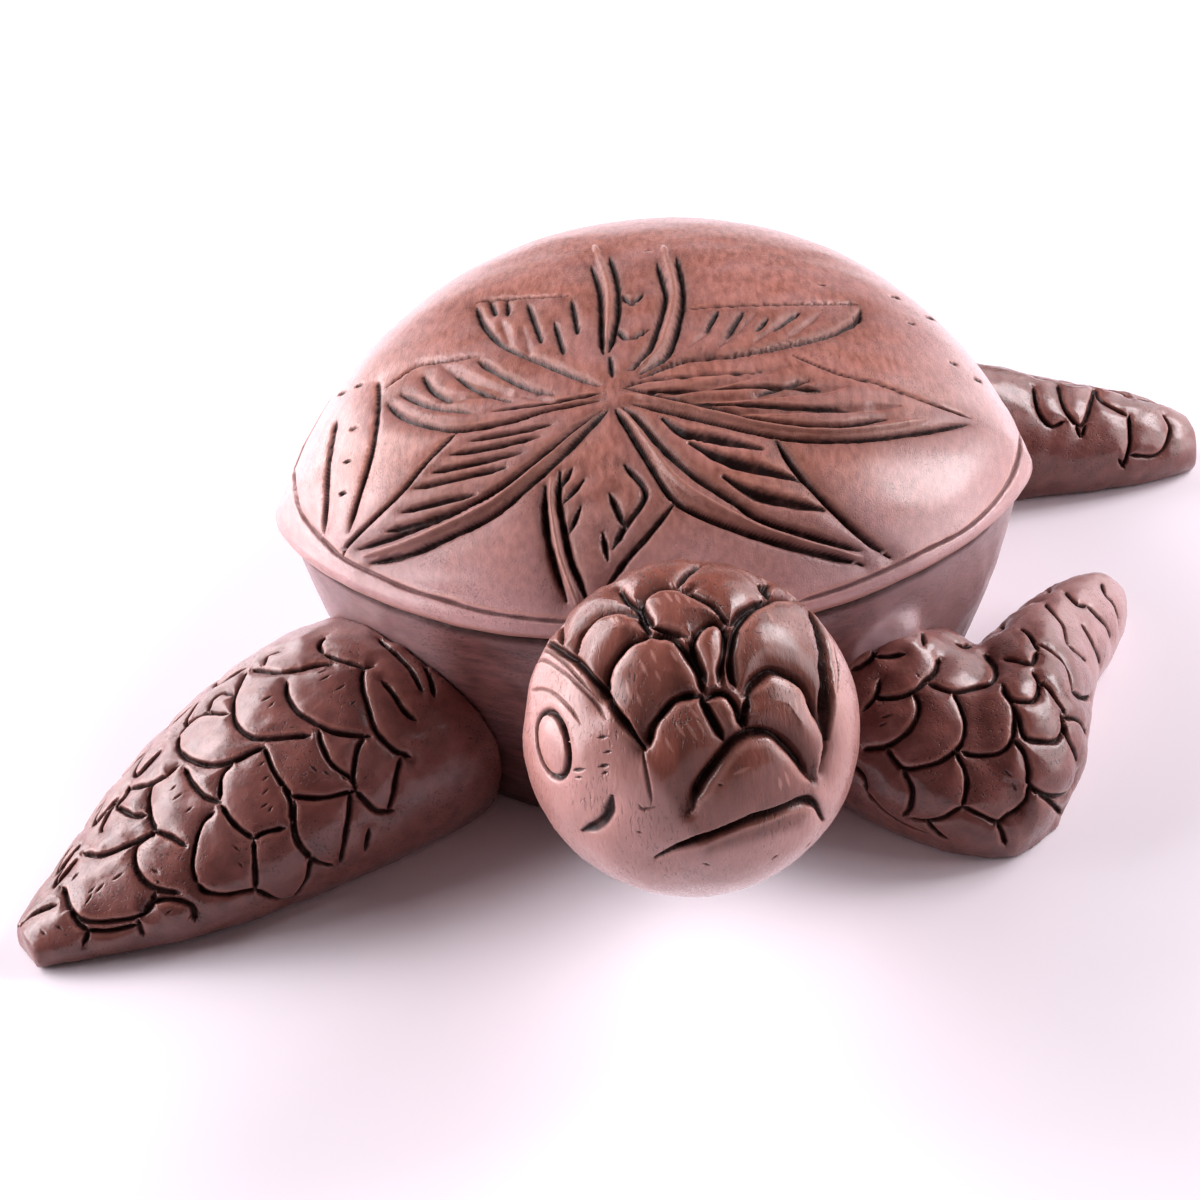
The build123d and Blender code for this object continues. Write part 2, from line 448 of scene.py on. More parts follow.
def shell_dome(name):
    """The dome as a wrapped grid, still open below."""
    bm = bmesh.new()
    bmesh.ops.create_grid(bm, x_segments=shell_cells, y_segments=shell_cells, size=1)
    grid = np.array([v.co[:2] for v in bm.verts])
    disc_x = grid[:, 0] * np.sqrt(1 - grid[:, 1] ** 2 / 2)
    disc_y = grid[:, 1] * np.sqrt(1 - grid[:, 0] ** 2 / 2)
    reach = np.hypot(disc_x, disc_y)
    turn = np.arctan2(disc_x, -disc_y)
    angles = np.linspace(0, pi / 2, dome_steps)
    mean_radius = (shell_half_width + shell_front / 2 + shell_rear / 2) / 2
    arc = np.cumsum(np.hypot(mean_radius * np.cos(angles), dome_rise * np.sin(angles)))
    angle = np.interp(reach, (arc - arc[0]) / (arc[-1] - arc[0]), angles)
    size = np.sin(angle)
    along = -np.cos(turn)
    ahead = along < 0
    fullness = np.where(ahead, front_fullness, rear_fullness)
    across = np.sqrt(np.clip(1 - np.abs(along) ** fullness, 0, 1)) * np.sign(np.sin(turn))
    length = np.where(ahead, shell_front, shell_rear)
    for vert, s, a, l, c, lift in zip(bm.verts, size, along, length, across, np.cos(angle)):
        vert.co = (shell_half_width * s * c, l * s * a, rim_height + dome_rise * lift)
    low = [e for e in bm.edges if min(v.co.z for v in e.verts) < rim_height + lip_height]
    bmesh.ops.subdivide_edges(bm, edges=low, cuts=1, use_grid_fill=True)
    bm.normal_update()
    for vert in bm.verts:
        lift = (vert.co.z - rim_height) / lip_height
        outward = Vector((vert.normal.x, vert.normal.y, 0)).normalized()
        if lift < 1:
            tuck = max(0, 1 - lift / lip_round_share) ** 2
            vert.co += outward * (lip_swell * sin(pi * lift) - lip_round * tuck)
    return show(name, bm)


def close_below(piece):
    """Closes the open underside of the shell with one flat face."""
    bm = bmesh.new()
    bm.from_mesh(piece.data)
    rim = [e for e in bm.edges if e.is_boundary]
    bmesh.ops.contextual_create(bm, geom=rim)
    bmesh.ops.recalc_face_normals(bm, faces=bm.faces)
    bm.to_mesh(piece.data)
    bm.free()


carapace = shell_dome("carapace_carved")
print("shell dome:", len(carapace.data.polygons), "faces")

# %% [markdown]
# The shell carries a rosette of leaves. Its lines are a few points each, read off the photograph:
# a border, the leaves' outlines, many of them double, the hatching inside them, three deep wedges,
# shallow flutes that a round gouge left, and a few dots.

# %% Rosette lines, in pixels of the photograph
border_line = (
    ((292, 461), (294, 492), (301, 516), (322, 540), (342, 558), (374, 574), (407, 589), (447, 601),
     (480, 611), (522, 618), (550, 621), (600, 625)),
    ((800, 602), (850, 586), (896, 566), (927, 550), (965, 531), (993, 506), (1012, 478),
     (1021, 450), (1021, 425), (1012, 400), (1002, 387)),
)
fine_leaf_lines = (
    ((456, 430), (425, 461), (401, 490), (371, 519), (347, 543), (341, 555)),
    ((492, 409), (541, 402), (600, 391)),
    ((386, 385), (416, 365), (450, 359), (480, 354)),
    ((475, 301), (492, 298), (571, 294)),
    ((690, 306), (760, 303), (859, 302)),
    ((793, 353), (840, 372), (877, 381), (927, 400), (971, 416)),
    ((626, 383), (652, 378), (699, 373), (762, 369)),
    ((335, 419), (327, 465), (325, 501), (322, 534)),
    ((377, 380), (377, 407), (371, 449), (356, 501), (347, 531)),
)
leaf_lines = (
    ((601, 407), (553, 443), (501, 483), (462, 505), (410, 528), (356, 548)),
    ((606, 407), (562, 452), (528, 483), (492, 513), (450, 534), (410, 552), (368, 563)),
    ((386, 401), (401, 413), (425, 422), (459, 427), (507, 419), (547, 407), (598, 397)),
    ((475, 304), (483, 322), (504, 343), (538, 358), (571, 372), (598, 382)),
    ((583, 245), (597, 280), (600, 301), (601, 331), (603, 350)),
    ((606, 245), (616, 277), (618, 304), (613, 331), (608, 348)),
    ((652, 245), (663, 281), (665, 297), (657, 325), (648, 347), (631, 366)),
    ((674, 245), (682, 281), (681, 309), (668, 350), (640, 370)),
    ((862, 306), (856, 319), (824, 334), (777, 345), (731, 353), (684, 358), (640, 374)),
    ((624, 384), (684, 397), (731, 408), (777, 419), (834, 423), (887, 416)),
    ((632, 400), (699, 416), (746, 427), (793, 436), (856, 437), (918, 430), (968, 421)),
    ((777, 437), (796, 466), (821, 494), (846, 519), (871, 541), (892, 556)),
    ((622, 404), (637, 416), (662, 444), (693, 472), (731, 497), (765, 519), (809, 534), (862, 550)),
    ((615, 406), (624, 419), (643, 450), (671, 494), (699, 512), (731, 525), (765, 537),
     (809, 550), (865, 564)),
    ((544, 483), (544, 513), (548, 543), (556, 574), (565, 601)),
    ((559, 468), (557, 495), (562, 525), (569, 558), (578, 580), (588, 606)),
    ((674, 500), (649, 531), (627, 556), (604, 590)),
)
hatch_lines = (
    ((450, 452), (492, 445), (538, 434)),
    ((413, 486), (450, 478), (504, 465)),
    ((401, 510), (432, 502), (474, 492)),
    ((385, 530), (420, 520), (455, 508)),
    ((432, 470), (470, 462), (520, 450)),
    ((470, 438), (510, 431), (550, 422)),
    ((640, 388), (700, 386), (760, 384), (820, 386)),
    ((655, 396), (720, 400), (790, 404), (850, 406)),
    ((400, 392), (430, 404), (470, 410)),
    ((422, 374), (432, 389), (450, 398)),
    ((453, 371), (474, 386), (510, 399)),
    ((477, 358), (498, 371), (528, 386), (553, 392)),
    ((489, 298), (495, 313)),
    ((506, 298), (507, 313)),
    ((527, 302), (541, 340)),
    ((548, 301), (563, 351)),
    ((571, 298), (577, 331)),
    ((621, 291), (631, 300), (643, 291)),
    ((616, 325), (628, 336), (650, 326)),
    ((718, 308), (706, 328)),
    ((743, 309), (727, 334)),
    ((768, 316), (757, 328)),
    ((800, 310), (775, 325)),
    ((759, 391), (809, 378)),
    ((571, 466), (559, 486)),
    ((583, 477), (562, 501)),
    ((580, 504), (568, 531)),
    ((624, 462), (645, 491), (624, 525), (612, 547)),
    ((609, 491), (624, 525)),
    ((602, 531), (607, 559)),
    ((609, 353), (612, 374)),
    ((627, 367), (645, 361)),
)
wedge_cuts = (
    ((662, 416), (684, 431), (715, 437), (762, 447)),
    ((690, 441), (721, 456), (759, 467), (800, 478)),
    ((724, 475), (752, 491), (784, 500), (824, 508)),
)
flutes = (
    ((640, 392), (700, 385), (790, 365)),
    ((660, 397), (740, 395), (850, 385)),
    ((700, 408), (780, 408), (900, 405)),
    ((690, 345), (720, 318)),
    ((720, 345), (757, 312)),
    ((755, 341), (790, 312)),
    ((790, 335), (822, 312)),
    ((510, 345), (500, 318)),
    ((530, 355), (516, 306)),
    ((570, 372), (540, 306)),
    ((560, 400), (500, 392), (430, 400)),
    ((520, 395), (470, 378), (440, 364)),
)
double_outlines = ((0, 1), (4, 5), (6, 7), (9, 10), (12, 13), (14, 15))
ridge_points = 12
band_dots = (
    (342, 393), (359, 385), (353, 428), (347, 461), (342, 493), (648, 250), (822, 285),
    (895, 297), (911, 323), (857, 316), (953, 363), (978, 380), (930, 318),
)
dot_reach = 3

# %% [markdown]
# Between the double outlines the wood stands up as a round ridge, so a ridge runs half way between
# the two. The photograph hides the rear of the border line. There it goes on round the shell, from
# its one end to the other.

# %% Ridges, dots and the hidden part of the border
rear_steps = 60
rear_gap = 12 * MM


def between(first, second):
    """The line half way between two lines."""
    sides = []
    for stroke in (first, second):
        dense = smooth_line(stroke)
        sides.append(dense[np.linspace(0, len(dense) - 1, ridge_points).astype(int)])
    return (sides[0] + sides[1]) / 2


def border_behind(tree, start, end):
    """The border line from its one end round the hidden rear to its other end."""
    first_turn = np.arctan2(start[1], start[0]) % (2 * pi)
    last_turn = np.arctan2(end[1], end[0]) % (2 * pi)
    places = []
    for share in np.linspace(0, 1, rear_steps):
        turn = first_turn + (last_turn - first_turn) * share
        outward = Vector((cos(turn), sin(turn), 0))
        height = start[2] + (end[2] - start[2]) * share
        places.append(np.array(tree.ray_cast(outward * 2 * shell_rear + up * height, -outward)[0]))
    return dense_line(places, rear_gap)


ridges = [between(leaf_lines[first], leaf_lines[second]) for first, second in double_outlines]
dots = [((x - dot_reach, y), (x + dot_reach, y)) for x, y in band_dots]
print(len(ridges), "ridges and", len(dots), "dots")

# %% Carving the shell
hand_work(carapace, depth=0.25 * MM, length=16 * MM)
shell_tree = wood_tree(carapace)
border = lines_from_photo(shell_tree, border_line)
border.append(border_behind(shell_tree, border[0][0], border[1][-1]))
carve(carapace, (
    cut(border, 0.55, 0.7, swell=0.4, reach=1.3, stain=0.6),
    cut(lines_from_photo(shell_tree, fine_leaf_lines), 0.72, 0.9, swell=0.45, reach=1.4),
    cut(lines_from_photo(shell_tree, ridges), 0.85, 0, taper=4, stain=0, pale=0.8, rise=0.7),
    cut(lines_from_photo(shell_tree, leaf_lines), 0.95, 1.35, swell=0.8, reach=1.7, taper=5, halo=0.55),
    cut(lines_from_photo(shell_tree, hatch_lines), 0.9, 1.15, swell=0.6, reach=1.6, halo=0.55),
    cut(lines_from_photo(shell_tree, wedge_cuts), 1.9, 1.8, swell=0.4, reach=1.5, taper=9),
    cut(lines_from_photo(shell_tree, flutes), 1.6, 0.9, taper=5, stain=0.35, pale=0.5, reach=1.5, halo=0.4),
    cut(lines_from_photo(shell_tree, dots), 1.0, 0.8, taper=1),
))

# %% Wax and painted sheen on the lower shell, and its pale rim
shell_wax_and_sheen = 0.6
wax_and_sheen_top = rim_height + 0.8 * dome_rise
wax_and_sheen_foot = rim_height + 3 * MM
pale_rim_top = rim_height + 2.5 * MM
pale_rim_foot = rim_height + 1.2 * MM
# paler towards the rim: the wax, and a painted sheen from the lamps at the sides
keep(carapace, "wear_and_painted_light", lambda place: shell_wax_and_sheen * ease(place.z, wax_and_sheen_top, wax_and_sheen_foot))
keep(carapace, "lip", lambda place: ease(place.z, pale_rim_top, pale_rim_foot))
close_below(carapace)
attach(carapace, "root")
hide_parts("carapace")
print("shell closed below, worn up to", round(wax_and_sheen_top / MM, 1), "mm")

# %% [markdown]
# ## The body
# Under the shell is a plain block with a flat belly, drawn in towards the floor, and a neck stub.
# Its form is right in the imported solid, so the blank only gets its even skin and soft edges. Above
# the bent flipper's shoulder a dab of filler closes the gap under the rim: a squashed ball that
# the remesh melts into the wall. Its pale colour is a painted sheen, the flanks are paler by wax and
# a painted sheen, and close under the rim the wall is darkened by a painted shadow.

# %% Body block
body_skin = 1.0 * MM
body_rounds = 6
filler_middle = (38, -34, 33)
filler_sizes = (11, 6.5, 6)
body = blank_from_node("body", "body_block", body_skin, body_rounds, ((filler_middle, filler_sizes),))
hand_work(body, depth=0.4 * MM, length=12 * MM)
carve(body, ())

# %% Wax and painted sheen on the flanks, painted sheen on the filler, painted shadow under the rim
flank_wax_and_sheen = 0.38
flank_start = 34 * MM
flank_full = 46 * MM
filler_painted_sheen = 0.65
filler_edge = 1.25
painted_rim_shadow = 0.9
rim_shadow_foot = rim_height - 2.5 * MM
rim_shadow_full = rim_height - 1 * MM


def lump_reach(place, middle, sizes):
    """How far a place is from the middle of a lump, 1 at the lump's skin."""
    return Vector([(p / MM - m) / size for p, m, size in zip(place, middle, sizes)]).length


def filler_sheen_share(place):
    """How much painted sheen lies on the filler at a place on the body."""
    return filler_painted_sheen * ease(lump_reach(place, filler_middle, filler_sizes), filler_edge, 1.0)


# paler flanks: the wax, and a painted sheen from the side lamps
keep(body, "wear_and_painted_light", lambda place: flank_wax_and_sheen * ease(abs(place.x), flank_start, flank_full))
keep(body, "wear_and_painted_light", filler_sheen_share)
# a painted shadow close under the rim, kept with the stain in the cut share
keep(body, "cut", lambda place: painted_rim_shadow * ease(place.z, rim_shadow_foot, rim_shadow_full))
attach(body, "root")
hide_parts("body")
print("filler at", filler_middle, "mm")

# %% [markdown]
# ## The head
# The head is a ball, turned a little to its left and rolled. Six square grids on a cube, blown up
# to a ball, have no poles to pinch the cuts. The crown has plates that lie over one another,
# so their edges step down on the outer side.

# %% Head ball
head_low, head_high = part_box("head")
head_radius = (head_high[0] - head_low[0]) / 2
head_centre = Vector((
    (head_low[0] + head_high[0]) / 2,
    head_low[1] + head_radius,
    head_high[2] - head_radius,
))
head_cells = 54


def head_ball(name):
    """A cube of fine grids blown up to a ball."""
    bm = bmesh.new()
    bmesh.ops.create_cube(bm, size=2)
    bmesh.ops.subdivide_edges(bm, edges=bm.edges, cuts=head_cells - 1, use_grid_fill=True)
    for vert in bm.verts:
        even = Vector([np.tan(v * pi / 4) for v in vert.co])
        vert.co = head_centre + even.normalized() * head_radius
    bmesh.ops.recalc_face_normals(bm, faces=bm.faces)
    return show(name, bm)


head = head_ball("head_carved")
print("head:", len(head.data.polygons), "faces, radius", round(head_radius / MM, 1), "mm")

# %% [markdown]
# The crown's plates, the brow, the mouth and one eye can be seen, so their lines are read off the
# photograph. They come in families, because the deep plates, the fine brow lines and the scratches
# were cut with different tools.

# %% Head lines, in pixels of the photograph
crown_plates = (
    ((556, 640), (556, 625), (565, 610), (575, 595), (588, 585)),
    ((569, 652), (572, 637), (582, 622), (597, 609), (615, 604), (627, 605), (637, 610)),
    ((615, 582), (622, 592), (635, 602), (640, 615), (650, 632)),
    ((602, 695), (600, 680), (605, 665), (615, 650), (627, 637), (642, 631), (650, 630)),
    ((650, 630), (670, 630), (680, 640), (692, 657), (702, 675), (705, 692)),
    ((644, 747), (647, 730), (660, 712), (675, 696), (690, 692), (700, 693)),
    ((700, 693), (707, 707), (717, 725), (726, 742)),
    ((751, 695), (747, 715), (750, 727)),
    ((737, 685), (732, 670), (732, 645), (737, 622), (747, 607), (762, 597),
     (777, 591), (792, 592), (805, 597)),
    ((680, 582), (700, 592), (715, 600), (725, 610), (732, 620)),
    ((732, 620), (745, 605), (765, 594)),
    ((762, 577), (767, 587), (772, 592)),
    ((650, 622), (640, 610), (637, 595), (655, 582), (675, 580), (690, 584)),
    ((650, 622), (670, 627), (687, 632)),
    ((705, 680), (697, 662), (690, 645), (690, 635), (700, 620), (715, 615), (727, 622),
     (730, 635), (727, 657), (722, 680)),
    ((705, 697), (715, 690), (727, 690), (737, 700), (745, 717), (749, 727)),
    ((588, 585), (600, 578), (615, 575), (628, 566), (640, 559)),
    ((676, 580), (684, 570), (694, 562), (702, 556)),
    ((772, 592), (768, 580), (777, 573), (790, 575)),
)
deep_plates = (
    ((569, 652), (573, 638), (581, 624), (592, 613)),
    ((689, 815), (691, 800), (700, 782), (712, 765), (727, 745), (740, 735), (755, 729),
     (775, 730), (790, 740), (805, 757), (819, 782)),
    ((747, 692), (752, 680), (765, 667), (777, 664), (795, 670), (810, 682),
     (820, 705), (830, 725), (834, 745), (831, 762), (827, 774)),
)
side_gap = (
    ((805, 597), (817, 617), (825, 645), (829, 675), (832, 705), (835, 740)),
)
crown_edge = (
    ((545, 640), (558, 649), (576, 661), (594, 682), (609, 703), (625, 725), (642, 751)),
)
mouth_line = (
    ((655, 860), (675, 850), (690, 845), (710, 838), (730, 830), (752, 821),
     (777, 813), (802, 803), (817, 805), (826, 822)),
)
face_lines = (
    ((534, 662), (542, 659), (555, 667), (572, 680), (590, 700), (605, 720)),
    ((530, 690), (542, 689), (555, 695), (570, 710), (580, 725)),
    ((537, 647), (550, 652), (570, 670), (587, 690)),
    ((640, 750), (645, 770), (650, 795), (651, 805)),
    ((638, 805), (643, 810), (655, 808)),
    ((835, 645), (840, 670), (839, 692)),
)
cheek_cut = (
    ((581, 832), (597, 826), (607, 815), (611, 797)),
)
eye_centre = (551, 745)
eye_half_width = 15
eye_half_height = 34
eye_lean = radians(-11)
eye_steps = 17
plate_scratches = (
    ((607, 612), (614, 622)), ((612, 611), (617, 620)), ((619, 606), (625, 615)),
    ((665, 589), (672, 600)), ((675, 590), (680, 601)), ((684, 588), (690, 600)), ((655, 594), (660, 602)),
    ((650, 648), (656, 662)), ((640, 660), (647, 675)), ((655, 670), (660, 680)), ((670, 648), (677, 660)),
    ((625, 680), (631, 700)), ((636, 692), (640, 705)),
    ((690, 708), (700, 720)), ((686, 722), (697, 740)), ((697, 720), (707, 737)), ((675, 722), (685, 737)),
    ((665, 738), (672, 752)),
    ((797, 698), (799, 712)), ((791, 700), (792, 712)), ((804, 695), (805, 707)),
    ((780, 778), (782, 790)), ((787, 773), (791, 787)), ((735, 775), (750, 768)),
    ((712, 632), (715, 650)), ((720, 640), (722, 652)), ((770, 610), (775, 620)),
)
cheek_ticks = (
    ((597, 738), (608, 736)), ((603, 753), (611, 751)), ((598, 767), (609, 765)), ((602, 774), (607, 772)),
    ((572, 771), (585, 769)), ((575, 778), (582, 777)), ((637, 832), (641, 834)), ((703, 864), (710, 866)),
    ((772, 860), (778, 855)), ((806, 848), (812, 842)), ((728, 741), (731, 744)), ((719, 786), (723, 787)),
)

# %% [markdown]
# The photograph hides the other cheek and the back of the head. A carver works both sides alike, so
# the cheek's lines are mirrored through the middle of the face, and the back gets rows of plates.

# %% The eye, and lines on the hidden sides of the head
face_turn = radians(19)
face_roll = radians(4)
face_side = Vector((cos(face_turn) * cos(face_roll), sin(face_turn) * cos(face_roll), -sin(face_roll)))
back_rows = ((62, 18), (44, 18), (26, 17))
back_first_turn = 90
back_last_turn = 300
back_plate_turn = 30
arch_steps = np.linspace(-1, 1, 15)
seen_from = 0.02
mirror_stride = 4


def eye_ring():
    """The leaning oval of the eye, in pixels."""
    ring = []
    for turn in np.linspace(0, 2 * pi, eye_steps):
        across = eye_half_width * cos(turn)
        down = eye_half_height * sin(turn)
        ring.append((eye_centre[0] + across * cos(eye_lean) - down * sin(eye_lean),
                     eye_centre[1] + across * sin(eye_lean) + down * cos(eye_lean)))
    return ring


def head_hit(tree, outward):
    """The place on the head in one direction from its middle, if the photograph doesn't show it."""
    hit = tree.ray_cast(head_centre, outward)[0]
    if hit is None or outward.normalized().dot(towards) > seen_from:
        return None
    return np.array(hit)


def mirrored(tree, lines):
    """The same lines on the other side of the face."""
    copies = []
    for line in lines:
        places = []
        for point in line[::mirror_stride]:
            outward = Vector(point) - head_centre
            places.append(head_hit(tree, outward - 2 * outward.dot(face_side) * face_side))
        places = [place for place in places if place is not None]
        if len(places) > 2:
            copies.append(dense_line(places))
    return copies


def back_plates(tree):
    """Rows of arched plates behind the crown."""
    lines = []
    for row, (lift, drop) in enumerate(back_rows):
        first_middle = back_first_turn + back_plate_turn / 2 * (row % 2)
        for middle in np.arange(first_middle, back_last_turn, back_plate_turn):
            places = []
            for step in arch_steps:
                turn = radians(middle + step * back_plate_turn / 2)
                rise = radians(lift - drop * (1 - step ** 2) ** 0.5)
                outward = Vector((sin(turn) * cos(rise), -cos(turn) * cos(rise), sin(rise)))
                places.append(head_hit(tree, outward))
            places = [place for place in places if place is not None]
            if len(places) > 2:
                lines.append(dense_line(places))
    return lines


# %% Carving the head
brow_count = 3
hand_work(head, depth=0.25 * MM, length=9 * MM)
head_tree = wood_tree(head)
crown_edge_lines = lines_from_photo(head_tree, crown_edge)
brow_lines = lines_from_photo(head_tree, face_lines)
cheek_lines = lines_from_photo(head_tree, cheek_cut)
eye_lines = lines_from_photo(head_tree, (eye_ring(),))
crown_edge_lines += mirrored(head_tree, crown_edge_lines)
brow_lines += mirrored(head_tree, brow_lines[:brow_count])
cheek_lines += mirrored(head_tree, cheek_lines)
eye_lines += mirrored(head_tree, eye_lines)
plate_edges = lines_from_photo(head_tree, crown_plates) + back_plates(head_tree)
carve(head, (
    cut(plate_edges, 0.85, 1.4, swell=1.1, reach=1.9, step=1.1, shade=0.8, taper=1.5, inset=0.4),
    cut(lines_from_photo(head_tree, deep_plates), 1.1, 1.7, swell=1.0, reach=2.0, step=1.4,
        shade=0.9, taper=4, inset=0.6),
    cut(lines_from_photo(head_tree, side_gap), 1.9, 2.0, swell=0.5, reach=1.5, taper=5),
    cut(crown_edge_lines, 0.8, 1.5, swell=0.6, reach=1.5, shade=0.5, taper=5),
    cut(lines_from_photo(head_tree, mouth_line), 1.0, 1.6, swell=0.4, reach=1.5, taper=9),
    cut(brow_lines, 0.4, 0.4, swell=0.15, reach=1.0, stain=0.6),
    cut(cheek_lines, 1.1, 1.0, swell=0.2, reach=1.6, step=0.4, taper=3),
    cut(eye_lines, 0.75, 1.1, swell=0.3, reach=1.0, step=0.3, taper=0.1),
    cut(lines_from_photo(head_tree, plate_scratches), 0.35, 0, taper=1, stain=0, pale=1.3, rise=0.02),
    cut(lines_from_photo(head_tree, cheek_ticks), 0.35, 0.4, taper=1, stain=0.9),
))

# %% [markdown]
# The plates of the crown kept their dark stain, while the cheeks and the chin are paler: partly worn,
# partly painted light, from the front on the cheeks and from the floor on the chin. Each pale part
# is a cap of the ball, given by a direction and by where the cap's soft edge lies.

# %% Pale face and chin, worn and painted light
face_way = screen_right * 0.806 + screen_up * 0.578 - towards * 0.13
chin_way = screen_up * 0.927 - screen_right * 0.297 - towards * 0.232
face_wear_and_light = 0.75
seen_cheek_edge = (-0.40, -0.48)
hidden_cheek_edge = (-0.44, -0.52)
chin_edge = (-0.78, -0.84)


def face_wear_and_light_share(place):
    """The cheeks and the chin are paler than the plates of the crown, by wear and by painted light."""
    outward = (place - head_centre) / head_radius
    other = outward - 2 * outward.dot(face_side) * face_side
    seen_cheek = ease(outward.dot(face_way), *seen_cheek_edge)
    hidden_cheek = ease(other.dot(face_way), *hidden_cheek_edge)
    return face_wear_and_light * max(seen_cheek, hidden_cheek, ease(outward.dot(chin_way), *chin_edge))


keep(head, "wear_and_painted_light", face_wear_and_light_share)

# %% [markdown]
# The ball sits on the neck stub with a flat seat, as wide as the stub. A plane cuts it off, and one
# face closes it.

# %% Flat seat of the head on the neck
neck_root = Vector((2.0, -34.0, 17.0)) * MM
neck_radius = 17 * MM
neck_way = (head_centre - neck_root).normalized()
seat_depth = (head_radius ** 2 - neck_radius ** 2) ** 0.5
bm = bmesh.new()
bm.from_mesh(head.data)
everything = [*bm.verts, *bm.edges, *bm.faces]
bmesh.ops.bisect_plane(bm, geom=everything, plane_co=head_centre - neck_way * seat_depth,
                       plane_no=neck_way, clear_inner=True)
bmesh.ops.contextual_create(bm, geom=[e for e in bm.edges if e.is_boundary])
bmesh.ops.recalc_face_normals(bm, faces=bm.faces)
bm.to_mesh(head.data)
bm.free()
print("head seat:", round(seat_depth / MM, 1), "mm behind the middle")
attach(head, "root")
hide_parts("head")

# %% [markdown]
# ## The flippers
# The flippers are covered with scales that the gouge outlined one by one. On the sides that the
# photograph shows, the lines are read off it.

# %% Scale lines, in pixels of the photograph
right_front_scales = (
    ((13, 928), (29, 913), (53, 903)),
    ((60, 885), (63, 892), (68, 907), (79, 919), (100, 922), (132, 919), (147, 910), (153, 892)),
    ((68, 907), (75, 922), (85, 932), (82, 948)),
    ((81, 850), (100, 853), (129, 842), (150, 832), (154, 829)),
    ((113, 804), (129, 813), (144, 813)),
    ((154, 829), (147, 834), (134, 845), (132, 860), (138, 875), (153, 888), (179, 894)),
    ((153, 829), (168, 835), (184, 845)),
    ((176, 763), (165, 773), (150, 783), (146, 798), (148, 816), (154, 829)),
    ((182, 766), (191, 783), (203, 795), (219, 801)),
    ((176, 733), (176, 748), (188, 757), (206, 763), (229, 760), (250, 750), (262, 745)),
    ((176, 733), (188, 720), (203, 711), (226, 711)),
    ((244, 669), (232, 695), (231, 710), (235, 723), (250, 735), (271, 736), (309, 733)),
    ((251, 666), (273, 669), (297, 667), (312, 663), (332, 661)),
    ((285, 678), (285, 692), (297, 710), (318, 723), (338, 731), (371, 735)),
    ((324, 651), (338, 657), (359, 663), (365, 666)),
    ((374, 663), (363, 667), (362, 683), (368, 704), (376, 728), (394, 748), (412, 757)),
    ((382, 678), (394, 692), (406, 710), (418, 719)),
    ((262, 745), (271, 766), (282, 784), (291, 795)),
    ((291, 795), (321, 798), (357, 791)),
    ((318, 728), (321, 742), (332, 763), (350, 776), (356, 786)),
    ((365, 734), (357, 751), (354, 775), (357, 791)),
    ((232, 759), (219, 775), (218, 798)),
    ((219, 804), (235, 825), (253, 839)),
    ((282, 784), (290, 801), (291, 822)),
    ((253, 839), (265, 832), (285, 829)),
    ((212, 810), (200, 822), (193, 845), (191, 869), (196, 884)),
    ((253, 839), (254, 860), (257, 892)),
    ((291, 822), (297, 842), (312, 860)),
    ((312, 860), (309, 881), (297, 900)),
    ((294, 801), (294, 822), (300, 845), (315, 863), (335, 870)),
    ((351, 792), (350, 816), (346, 845), (343, 866)),
    ((357, 791), (368, 804), (379, 813), (397, 813)),
    ((371, 831), (368, 854)),
    ((126, 786), (147, 782), (165, 773)),
    ((113, 804), (124, 792), (126, 784)),
    ((379, 636), (400, 655), (412, 668), (424, 690)),
    ((206, 709), (210, 698), (222, 690), (230, 692)),
    ((142, 914), (150, 903), (167, 900), (185, 904), (193, 912), (195, 925)),
    ((137, 921), (140, 932), (143, 940)),
    ((84, 931), (110, 932), (137, 927)),
    ((196, 884), (205, 893), (225, 897), (245, 894), (257, 892)),
    ((257, 892), (278, 903), (297, 900)),
    ((402, 757), (398, 775), (395, 795), (390, 812)),
    ((262, 662), (266, 653), (280, 648)),
    ((322, 650), (318, 642), (324, 634)),
    ((405, 640), (420, 655), (431, 675), (436, 695)),
)
right_front_marks = (
    ((84, 905), (92, 893)), ((95, 893), (104, 883)), ((88, 893), (95, 886)), ((112, 880), (122, 872)),
    ((128, 862), (136, 856)), ((70, 880), (78, 872)), ((172, 800), (182, 792)), ((170, 790), (176, 783)),
    ((185, 812), (192, 806)), ((258, 765), (263, 760)), ((262, 780), (268, 775)), ((262, 795), (268, 788)),
    ((260, 808), (268, 803)), ((268, 812), (272, 806)), ((262, 700), (272, 694)), ((268, 707), (274, 700)),
    ((320, 680), (330, 674)), ((335, 690), (345, 684)), ((350, 705), (356, 698)), ((318, 672), (326, 668)),
    ((232, 845), (240, 852)), ((238, 862), (242, 868)), ((150, 868), (158, 873)), ((155, 880), (160, 884)),
    ((310, 765), (318, 772)), ((322, 770), (330, 775)), ((340, 775), (348, 780)), ((40, 930), (46, 936)),
    ((55, 925), (62, 930)), ((165, 915), (172, 910)), ((188, 922), (194, 915)),
)
left_front_marks = (
    ((880, 718), (892, 714)), ((878, 726), (886, 723)), ((1004, 770), (1012, 778)),
    ((1012, 784), (1017, 792)), ((916, 672), (920, 676)), ((968, 645), (974, 643)),
)
